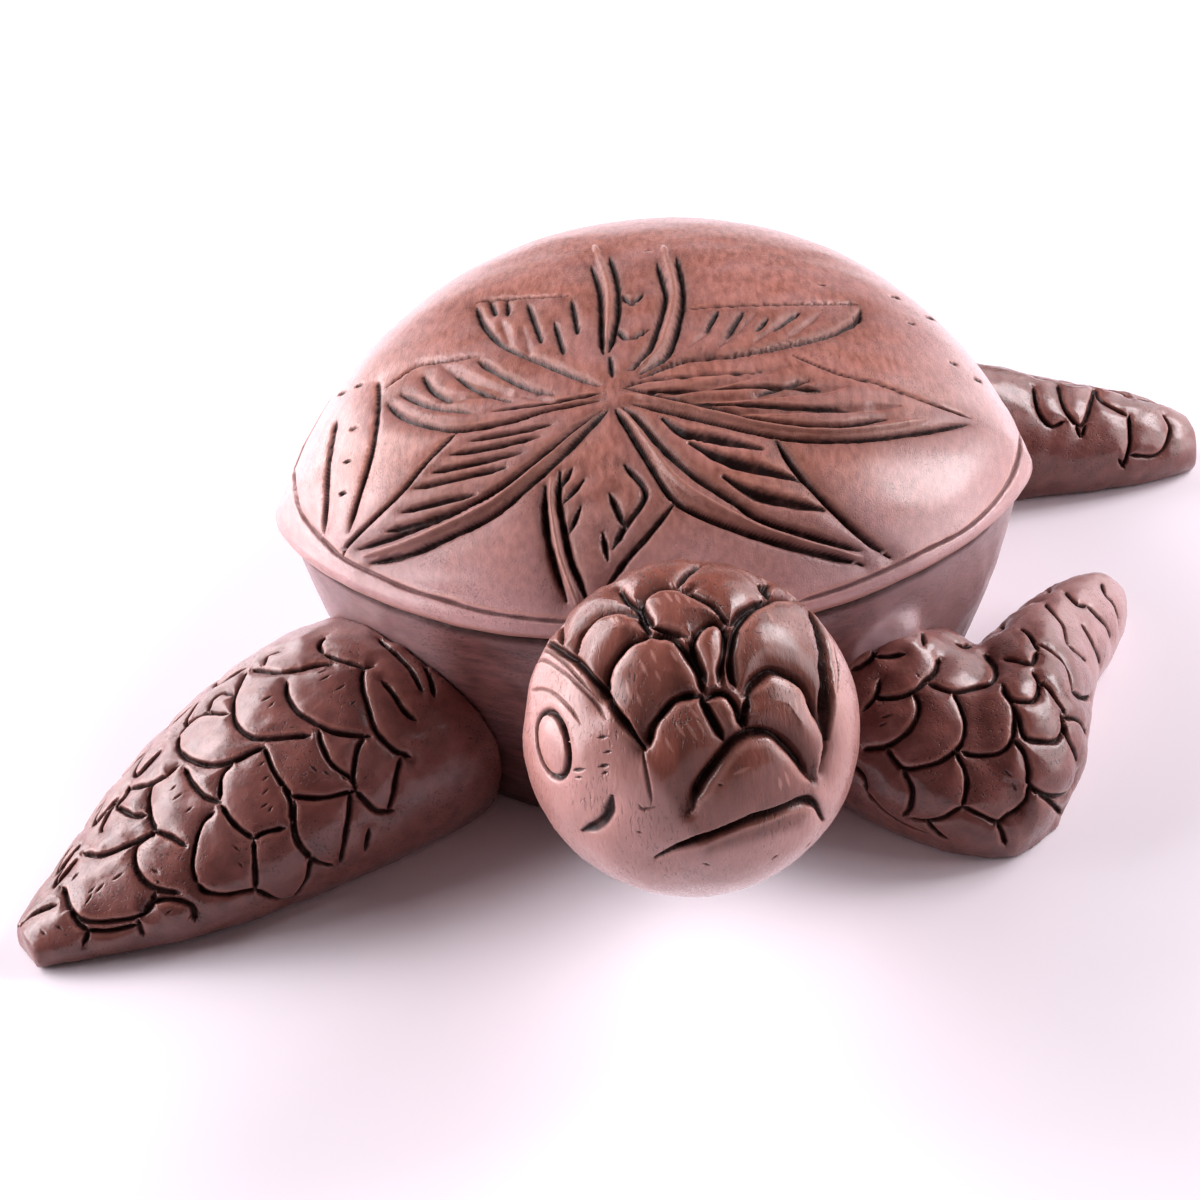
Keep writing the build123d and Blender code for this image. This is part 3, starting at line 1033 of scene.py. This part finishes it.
left_front_scales = (
    ((850, 670), (861, 665), (872, 655), (874, 639), (869, 631)),
    ((869, 631), (885, 630), (909, 629)),
    ((874, 655), (890, 656), (905, 653)),
    ((925, 629), (926, 643)),
    ((941, 655), (937, 667), (925, 679), (913, 689), (897, 695), (879, 696), (876, 693)),
    ((879, 677), (875, 693), (861, 710)),
    ((929, 681), (954, 689), (978, 684), (992, 677), (994, 665), (985, 650)),
    ((913, 689), (919, 703), (916, 717), (904, 734), (885, 746), (861, 750)),
    ((954, 689), (963, 708), (967, 724), (963, 741), (956, 750), (940, 762), (923, 767),
     (904, 770), (894, 762), (885, 747)),
    ((1001, 684), (1013, 703), (1016, 722), (1011, 743), (997, 754), (973, 754), (963, 750)),
    ((1001, 679), (1011, 696), (1028, 699), (1038, 696), (1041, 682), (1034, 668)),
    ((1002, 655), (1015, 657), (1028, 660), (1035, 658), (1038, 648)),
    ((1040, 678), (1050, 686), (1058, 697), (1066, 708), (1068, 715)),
    ((1013, 702), (1020, 715), (1024, 730), (1030, 738), (1045, 741),
     (1060, 740), (1066, 728), (1064, 712)),
    ((1066, 716), (1078, 718), (1084, 722), (1091, 736)),
    ((1066, 722), (1070, 735), (1078, 752), (1081, 762)),
    ((956, 750), (966, 770), (968, 786), (963, 808)),
    ((901, 770), (911, 791), (909, 810), (901, 820)),
    ((963, 808), (944, 820), (925, 824), (909, 822)),
    ((851, 767), (861, 779), (863, 793)),
    ((925, 824), (937, 836), (947, 843)),
    ((863, 793), (880, 812), (900, 826), (925, 837)),
    ((958, 640), (966, 644), (972, 641)),
    ((1014, 738), (1026, 752), (1031, 770), (1031, 785), (1040, 793), (1055, 798),
     (1068, 796), (1076, 786), (1079, 775)),
    ((1040, 793), (1052, 802), (1062, 812), (1067, 818)),
    ((1031, 785), (1029, 798), (1020, 810), (1008, 818), (999, 824), (982, 817), (963, 808)),
    ((999, 824), (1004, 835), (1007, 848)),
    ((1104, 580), (1108, 592), (1116, 602), (1121, 615), (1122, 625)),
    ((1066, 588), (1072, 595), (1080, 602), (1090, 603)),
    ((1090, 603), (1100, 615), (1109, 625), (1114, 638)),
    ((1045, 600), (1056, 612), (1066, 625), (1070, 642)),
    ((1070, 642), (1078, 649), (1090, 660)),
    ((1085, 622), (1095, 640), (1100, 652), (1104, 664)),
    ((1038, 640), (1052, 648), (1066, 660), (1072, 672), (1076, 690)),
    ((1020, 625), (1030, 632), (1040, 648)),
    ((1076, 690), (1086, 697), (1096, 697)),
)
left_hind_scales = (
    ((1058, 368), (1061, 390), (1068, 410), (1082, 425), (1090, 408), (1096, 383)),
    ((1078, 424), (1081, 437)),
    ((1087, 424), (1083, 437)),
    ((1035, 385), (1040, 410), (1052, 425), (1066, 420)),
    ((1096, 383), (1102, 398), (1128, 413)),
    ((1131, 413), (1131, 445), (1125, 468)),
    ((1120, 460), (1126, 470)),
    ((1165, 412), (1172, 430), (1160, 455), (1131, 456)),
)

# %% [markdown]
# The far sides of the flippers aren't in the photograph. There the scales follow in staggered rows:
# each is an arch round the flipper's middle line that points to the tip, a little uneven by hand.

# %% Rows of scales round a flipper
scale_length = 10.5
arch_overlap = 1.1
hand_turn = 4
hand_shift = 0.25
turn_margin = 3
row_gap = 6 * MM


def scale_rows(tree, root, tip, lift, first_turn, last_turn, columns, first_share=0.15):
    """Rows of arches on one side of a flipper, by rays from its middle line; places in mm."""
    start = Vector((*root, lift)) * MM
    run = Vector((*tip, lift)) * MM - start
    across = up.cross(run).normalized()
    pitch = scale_length * MM / run.length
    half_turn = (last_turn - first_turn) / columns / 2
    lines = []
    for row in range(int((1 - first_share) / pitch)):
        for column in range(columns + row % 2):
            hand = noise.noise(Vector((row * 1.7, column * 2.3, lift + first_turn)))
            middle = first_turn + half_turn * (2 * column + 1 - row % 2) + hand_turn * hand
            places = []
            for step in arch_steps:
                arch = arch_overlap * (1 - step ** 2) ** 0.5
                share = first_share + pitch * (row + arch + hand_shift * hand)
                degrees = middle + step * half_turn
                turn = radians(degrees)
                hit = tree.ray_cast(start + run * share, across * cos(turn) + up * sin(turn))[0]
                if hit is not None and first_turn - turn_margin < degrees < last_turn + turn_margin:
                    places.append(np.array(hit))
            if len(places) > 2:
                lines.append(dense_line(places, row_gap))
    return lines


# %% [markdown]
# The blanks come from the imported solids. Where the carver's outline in the photograph departs from
# one by a few millimetres, a soft push moves the wood there before the scales are cut.

# %% Carving a flipper
push_height = 20 * MM
flipper_skin = 0.85 * MM
flipper_rounds = 3
flipper_wax_and_sheen = 0.65


def push(piece, middle, reach, way):
    """Moves the wood round a place in plan, most at its middle, up or down by its height; in mm."""
    for vert in piece.data.vertices:
        away = (vert.co.xy - Vector(middle) * MM).length / (reach * MM)
        full_way = Vector((way[0], way[1], way[2] * vert.co.z / push_height))
        vert.co += full_way * MM * np.exp(-away ** 2)
    piece.data.update()


def carved_flipper(node, name, strokes, marks, rows, wax_and_sheen_way, wax_and_sheen_from, wax_and_sheen_full, lumps=(), pushes=()):
    """A flipper's blank with an even skin, its scales cut in, and paler one way by wax and a painted sheen;
    in mm.
    """
    piece = blank_from_node(node, name, flipper_skin, flipper_rounds, lumps)
    for middle, reach, way in pushes:
        push(piece, middle, reach, way)
    hand_work(piece, depth=0.3 * MM, length=9 * MM)
    hand_work(piece, depth=0.15 * MM, length=3.5 * MM)
    tree = wood_tree(piece)
    lines = lines_from_photo(tree, strokes)
    for row in rows:
        lines += scale_rows(tree, **row)
    carve(piece, (
        cut(lines, 0.64, 1.05, swell=0.7, reach=1.4, step=0.5, shade=0.35, taper=1.0),
        cut(lines_from_photo(tree, marks), 0.32, 0.35, taper=0.8, stain=0.8, pale=0.6),
    ))
    # paler one way: the wax, and a painted sheen where the lamps fall
    start, full = wax_and_sheen_from * MM, wax_and_sheen_full * MM
    keep(piece, "wear_and_painted_light", lambda place: flipper_wax_and_sheen * ease(wax_and_sheen_way.dot(place), start, full))
    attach(piece, "root")
    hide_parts(node)
    return piece


# %% The front flippers
right_front = carved_flipper(
    "right_front_flipper", "right_front_flipper_carved", right_front_scales, right_front_marks,
    rows=(dict(root=(-45.0, -23.0), tip=(-117.5, -75.5), lift=5, first_turn=115, last_turn=175,
               columns=3, first_share=0.3),),
    wax_and_sheen_way=Vector((-0.7, 0.6, 0.4)), wax_and_sheen_from=40, wax_and_sheen_full=70,
)
left_front = carved_flipper(
    "left_front_flipper", "left_front_flipper_carved", left_front_scales, left_front_marks,
    rows=(dict(root=(60.5, -51.0), tip=(95.2, 19.2), lift=5, first_turn=0, last_turn=70,
               columns=3, first_share=0.3),),
    wax_and_sheen_way=Vector((0.44, 0.9, 0)), wax_and_sheen_from=0, wax_and_sheen_full=25,
    lumps=(((43, -36, 21.5), (15, 10, 13)),),
    pushes=(
        ((59, -36), 9, (0, 0, -1.3)),
        ((90, -20), 18, (-3.1, 1.55, 0)),
        ((84, -38), 12, (-1.2, 0.6, 0)),
    ),
)

# %% The hind flippers
left_hind = carved_flipper(
    "left_hind_flipper", "left_hind_flipper_carved", left_hind_scales, (),
    rows=(dict(root=(46.0, 80.0), tip=(129.0, 85.5), lift=5, first_turn=0, last_turn=80,
               columns=3, first_share=0.3),),
    wax_and_sheen_way=Vector((1, 0, 0)), wax_and_sheen_from=120, wax_and_sheen_full=150,
    pushes=(((66, 82), 34, (0, 0, 2.8)),),
)
right_hind = carved_flipper(
    "right_hind_flipper", "right_hind_flipper_carved", (), (),
    rows=(dict(root=(-24.0, 88.0), tip=(-58.0, 160.0), lift=5, first_turn=10, last_turn=170,
               columns=5, first_share=0.3),),
    wax_and_sheen_way=Vector((0, 1, 0)), wax_and_sheen_from=140, wax_and_sheen_full=190,
)

# %% [markdown]
# ## The finish
# A brown stain, darker in the cuts, under a thin pale wax. Painted shade beside the cuts, and a painted
# sheen and painted light in the wax colour, are mixed in too. The stain follows the grain in streaks,
# and the wood has small open pores. All pieces share this finish, so it is one node group with the
# colours, the run of the grain and the dullness as inputs. It reads the shares that the carving kept.

# %% Small helpers for shader nodes
def feed(tree, value, socket):
    """Links an output to a socket, or sets the socket to a plain value."""
    if isinstance(value, bpy.types.NodeSocket):
        tree.links.new(value, socket)
    else:
        socket.default_value = value


def noise_at(tree, vector, scale, detail):
    """Noise over the places that a vector gives."""
    texture = tree.nodes.new("ShaderNodeTexNoise")
    feed(tree, vector, texture.inputs["Vector"])
    feed(tree, scale, texture.inputs["Scale"])
    feed(tree, detail, texture.inputs["Detail"])
    return texture.outputs["Fac"]


def spread(tree, value, low, high, least=0.0, most=1.0):
    """Spreads a value from one range over another."""
    ramp = tree.nodes.new("ShaderNodeMapRange")
    feed(tree, value, ramp.inputs["Value"])
    for socket, number in (("From Min", low), ("From Max", high), ("To Min", least), ("To Max", most)):
        feed(tree, number, ramp.inputs[socket])
    return ramp.outputs["Result"]


def reckon(tree, operation, first, second):
    """One step of reckoning with two values."""
    node = tree.nodes.new("ShaderNodeMath")
    node.operation = operation
    feed(tree, first, node.inputs[0])
    feed(tree, second, node.inputs[1])
    return node.outputs["Value"]


def mixed(tree, share, first, second):
    """A colour between two colours."""
    node = tree.nodes.new("ShaderNodeMix")
    node.data_type = "RGBA"
    feed(tree, share, node.inputs["Factor"])
    feed(tree, first, node.inputs["A"])
    feed(tree, second, node.inputs["B"])
    return node.outputs["Result"]


def kept_share(tree, name):
    """A share that the carving kept on the piece."""
    node = tree.nodes.new("ShaderNodeAttribute")
    node.attribute_name = name
    return node.outputs["Fac"]


# %% Stained wood as one shader group
# the wax colour is the pale wax, and also the colour of the painted sheen and painted light
group_inputs = {"Wood": "Color", "Streak": "Color", "Stain": "Color", "Wax_and_light": "Color", "Edge": "Color",
                "Grain": "Vector", "Dullness": "Float", "Haze": "Float"}
group_outputs = {"Color": "Color", "Roughness": "Float", "Gloss": "Float", "Height": "Float"}
carved_wood = bpy.data.node_groups.new("stained carved wood", "ShaderNodeTree")
for socket, kind in group_inputs.items():
    carved_wood.interface.new_socket(socket, in_out="INPUT", socket_type="NodeSocket" + kind)
for socket, kind in group_outputs.items():
    carved_wood.interface.new_socket(socket, in_out="OUTPUT", socket_type="NodeSocket" + kind)
given = carved_wood.nodes.new("NodeGroupInput").outputs
made = carved_wood.nodes.new("NodeGroupOutput").inputs
print("wood group:", len(given) - 1, "inputs and", len(made) - 1, "outputs")

# %% Grain, pores, dents and scratches
place = carved_wood.nodes.new("ShaderNodeTexCoord").outputs["Object"]
stretch = carved_wood.nodes.new("ShaderNodeVectorMath")
stretch.operation = "MULTIPLY"
feed(carved_wood, place, stretch.inputs[0])
feed(carved_wood, given["Grain"], stretch.inputs[1])
grain = stretch.outputs["Vector"]
streaks = spread(carved_wood, noise_at(carved_wood, grain, 1.0, 5), 0.35, 0.68)
fibres = noise_at(carved_wood, grain, 4.0, 4)
pores = spread(carved_wood, noise_at(carved_wood, grain, 7.0, 2), 0.68, 0.76)
dents = noise_at(carved_wood, place, 420.0, 2)
scratched_grain = spread(carved_wood, noise_at(carved_wood, grain, 6.0, 1), 0.6, 0.68)
scratched_places = spread(carved_wood, noise_at(carved_wood, place, 110.0, 1), 0.45, 0.6)
scratches = reckon(carved_wood, "MULTIPLY", scratched_grain, scratched_places)

# %% Where the wax, the wear with painted light, the stain and painted shade lie
lip_wear_and_highlight = 0.55
patches = spread(carved_wood, noise_at(carved_wood, place, 60.0, 3), 0.42, 0.7)
haze_share = reckon(carved_wood, "MULTIPLY", patches, given["Haze"])
wear_and_light_patches = spread(carved_wood, noise_at(carved_wood, place, 90.0, 3), 0.3, 0.6, 0.75, 1.0)
wear_and_light_share = reckon(carved_wood, "MULTIPLY", kept_share(carved_wood, "wear_and_painted_light"), wear_and_light_patches)
pore_stain = spread(carved_wood, wear_and_light_share, 0.0, 0.4, 0.5, 0.1)
scratch_stain = spread(carved_wood, wear_and_light_share, 0.0, 0.4, 0.5, 0.15)
pore_share = reckon(carved_wood, "MULTIPLY", pores, pore_stain)
scratch_share = reckon(carved_wood, "MULTIPLY", scratches, scratch_stain)
lip_wear_and_highlight_share = reckon(carved_wood, "MULTIPLY", kept_share(carved_wood, "lip"), lip_wear_and_highlight)
stain_and_shade_share = kept_share(carved_wood, "cut")
dented_stain_and_shade = reckon(carved_wood, "MULTIPLY", stain_and_shade_share, spread(carved_wood, dents, 0.3, 0.5, 0.85, 1.0))

# %% Colour, shine and relief of the group
cut_dullness = 0.15
wax_gloss = 0.7
color = mixed(carved_wood, streaks, given["Wood"], given["Streak"])
# paler where the wear share lies: wear and wax, with painted sheen and painted light
color = mixed(carved_wood, wear_and_light_share, color, given["Wax_and_light"])
color = mixed(carved_wood, haze_share, color, given["Wax_and_light"])
color = mixed(carved_wood, pore_share, color, given["Stain"])
color = mixed(carved_wood, scratch_share, color, given["Stain"])
# pale lips: wear, and a painted highlight on lips and ridge tops
color = mixed(carved_wood, lip_wear_and_highlight_share, color, given["Edge"])
# the stain in the cuts, with the painted shade beside them and under the rim
color = mixed(carved_wood, dented_stain_and_shade, color, given["Stain"])
rough = reckon(carved_wood, "ADD", given["Dullness"], spread(carved_wood, fibres, 0.3, 0.7, -0.06, 0.1))
rough = reckon(carved_wood, "ADD", rough, reckon(carved_wood, "MULTIPLY", stain_and_shade_share, cut_dullness))
height = reckon(carved_wood, "MULTIPLY", fibres, 0.35)
height = reckon(carved_wood, "ADD", height, reckon(carved_wood, "MULTIPLY", dents, 0.15))
height = reckon(carved_wood, "SUBTRACT", height, reckon(carved_wood, "MULTIPLY", pores, 0.3))
height = reckon(carved_wood, "SUBTRACT", height, reckon(carved_wood, "MULTIPLY", scratches, 0.5))
feed(carved_wood, color, made["Color"])
feed(carved_wood, rough, made["Roughness"])
feed(carved_wood, spread(carved_wood, stain_and_shade_share, 0.0, 0.5, wax_gloss, 0.0), made["Gloss"])
feed(carved_wood, height, made["Height"])
print("wood group:", len(carved_wood.nodes), "nodes")

# %% [markdown]
# The stain took differently on each kind of piece: the shell is pale and streaked along its length,
# the head and the flippers are dark chocolate, and the block under the shell is dull and darker, its
# darker colour being painted shade under the shell. Each kind is one material that places the group
# with its own values. The dowels inside were never stained.

# %% One wood for each kind of piece
relief_depth = 0.3 * MM
relief_strength = 0.9
wood_shine = 0.2
wax_roughness = 0.25
# the stain colour, also used for the painted shade beside cuts and under the rim
stain = (0.022, 0.0065, 0.005)


def stained_wood(name, wood, streak, edge, wax_and_light, grain, dullness, haze):
    """A wood with its own colours and its own run of the grain."""
    material = bpy.data.materials.new(name)
    material.use_nodes = True
    nodes = material.node_tree.nodes
    link = material.node_tree.links.new
    shader = nodes["Principled BSDF"]
    shader.inputs["Specular IOR Level"].default_value = wood_shine
    shader.inputs["Coat Roughness"].default_value = wax_roughness
    group = nodes.new("ShaderNodeGroup")
    group.node_tree = carved_wood
    colors = {"Wood": wood, "Streak": streak, "Stain": stain, "Wax_and_light": wax_and_light, "Edge": edge}
    for socket, color in colors.items():
        group.inputs[socket].default_value = (*color, 1)
    group.inputs["Grain"].default_value = grain
    group.inputs["Dullness"].default_value = dullness
    group.inputs["Haze"].default_value = haze
    bump = nodes.new("ShaderNodeBump")
    bump.inputs["Strength"].default_value = relief_strength
    bump.inputs["Distance"].default_value = relief_depth
    link(group.outputs["Color"], shader.inputs["Base Color"])
    link(group.outputs["Roughness"], shader.inputs["Roughness"])
    link(group.outputs["Gloss"], shader.inputs["Coat Weight"])
    link(group.outputs["Height"], bump.inputs["Height"])
    link(bump.outputs["Normal"], shader.inputs["Normal"])
    return material


shell_wood = stained_wood(
    "shell wood", wood=(0.50, 0.195, 0.148), streak=(0.29, 0.095, 0.068), edge=(0.66, 0.29, 0.21),
    wax_and_light=(0.66, 0.40, 0.42), grain=(800, 170, 800), dullness=0.33, haze=0.25,
)
# darker wood: painted shade under the overhanging shell
shaded_body_wood = stained_wood(
    "body wood", wood=(0.17, 0.058, 0.054), streak=(0.09, 0.031, 0.029), edge=(0.25, 0.10, 0.085),
    wax_and_light=(0.55, 0.35, 0.36), grain=(160, 160, 700), dullness=0.45, haze=0.2,
)
head_wood = stained_wood(
    "head wood", wood=(0.28, 0.088, 0.062), streak=(0.17, 0.05, 0.035), edge=(0.58, 0.28, 0.23),
    wax_and_light=(0.62, 0.32, 0.29), grain=(420, 200, 120), dullness=0.28, haze=0.1,
)
flipper_wood = stained_wood(
    "flipper wood", wood=(0.24, 0.08, 0.066), streak=(0.15, 0.048, 0.04), edge=(0.42, 0.165, 0.125),
    wax_and_light=(0.58, 0.33, 0.32), grain=(300, 300, 300), dullness=0.32, haze=0.12,
)
bare_wood = (0.5, 0.33, 0.18)
dowel_wood = stained_wood(
    "dowel wood", wood=bare_wood, streak=(0.4, 0.25, 0.13), edge=bare_wood,
    wax_and_light=bare_wood, grain=(300, 300, 100), dullness=0.6, haze=0.0,
)

# %% Each piece gets its wood
def finish_piece(piece, material):
    """Gives a piece its one material."""
    piece.data.materials.clear()
    piece.data.materials.append(material)


finish_piece(carapace, shell_wood)
finish_piece(body, shaded_body_wood)
finish_piece(head, head_wood)
for flipper in (right_front, left_front, left_hind, right_hind):
    finish_piece(flipper, flipper_wood)
dowels = [node for node_name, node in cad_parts.items() if "dowel" in node_name]
for dowel in dowels:
    finish_piece(dowel, dowel_wood)
print(len(dowels), "dowels of bare wood inside")

# %% [markdown]
# ## Floor and light
# A pale table top between soft white walls: large lamps low on both sides give the wood its broad
# sheen, two smaller ones above them the brighter spots. The floor is paler to the eye, and in shiny
# things, than to the light that it throws back, so the undersides stay dark. Far off it goes over
# into white.

# %% Floor
floor_half_size = 3.0
floor_to_light = (0.60, 0.56, 0.60, 1)
floor_to_eye = (0.95, 0.885, 0.945, 1)
far_white = (0.95, 0.92, 0.95, 1)
far_start = 0.35
far_full = 1.0
bm = bmesh.new()
bmesh.ops.create_grid(bm, x_segments=1, y_segments=1, size=floor_half_size)
floor = show("floor", bm)
floor_paint = bpy.data.materials.new("white table")
floor_paint.use_nodes = True
floor_tree = floor_paint.node_tree
floor_shader = floor_tree.nodes["Principled BSDF"].inputs
rays = floor_tree.nodes.new("ShaderNodeLightPath").outputs
seen = reckon(floor_tree, "MAXIMUM", rays["Is Camera Ray"], rays["Is Glossy Ray"])
seen = reckon(floor_tree, "MAXIMUM", seen, rays["Is Transmission Ray"])
floor_reach = floor_tree.nodes.new("ShaderNodeVectorMath")
floor_reach.operation = "LENGTH"
floor_place = floor_tree.nodes.new("ShaderNodeTexCoord").outputs["Object"]
feed(floor_tree, floor_place, floor_reach.inputs[0])
far = spread(floor_tree, floor_reach.outputs["Value"], far_start, far_full)
feed(floor_tree, mixed(floor_tree, seen, floor_to_light, floor_to_eye), floor_shader["Base Color"])
feed(floor_tree, reckon(floor_tree, "MULTIPLY", far, seen), floor_shader["Emission Strength"])
floor_shader["Emission Color"].default_value = far_white
floor_shader["Roughness"].default_value = 0.9
floor_shader["Specular IOR Level"].default_value = 0.0
finish_piece(floor, floor_paint)
print("floor:", 2 * floor_half_size, "m wide")

# %% Light
studio_tint = (1.0, 0.955, 0.99)
room_light = 0.035
lamp_aim = Vector((0, 0, 0.03))
wall_size = 0.8
window_size = 0.5
lamps = (
    ("left wall", (-1.05, 0.0, 0.35), wall_size, 17.0),
    ("left window", (-0.8, 0.35, 0.7), window_size, 5.0),
    ("left back wall", (-0.75, 0.75, 0.45), wall_size, 8.0),
    ("right wall", (1.05, -0.05, 0.35), wall_size, 8.5),
    ("right window", (0.8, 0.35, 0.7), window_size, 8.5),
    ("right back wall", (0.75, 0.75, 0.45), wall_size, 3.3),
)


def soft_light(name, place, size, watts):
    """A large square lamp at a place, turned to the turtle."""
    data = bpy.data.lights.new(name, "AREA")
    data.size = size
    data.energy = watts
    data.color = studio_tint
    lamp = bpy.data.objects.new(name, data)
    bpy.context.collection.objects.link(lamp)
    lamp.location = place
    lamp.rotation_mode = "QUATERNION"
    lamp.rotation_quaternion = (lamp_aim - Vector(place)).to_track_quat("-Z", "Y")


for lamp in lamps:
    soft_light(*lamp)
world = bpy.data.worlds.new("studio")
bpy.context.scene.world = world
world.use_nodes = True
room = world.node_tree.nodes["Background"].inputs
room["Color"].default_value = (*studio_tint, 1)
room["Strength"].default_value = room_light
bpy.context.scene.view_settings.view_transform = "Standard"
print(len(lamps), "lamps")
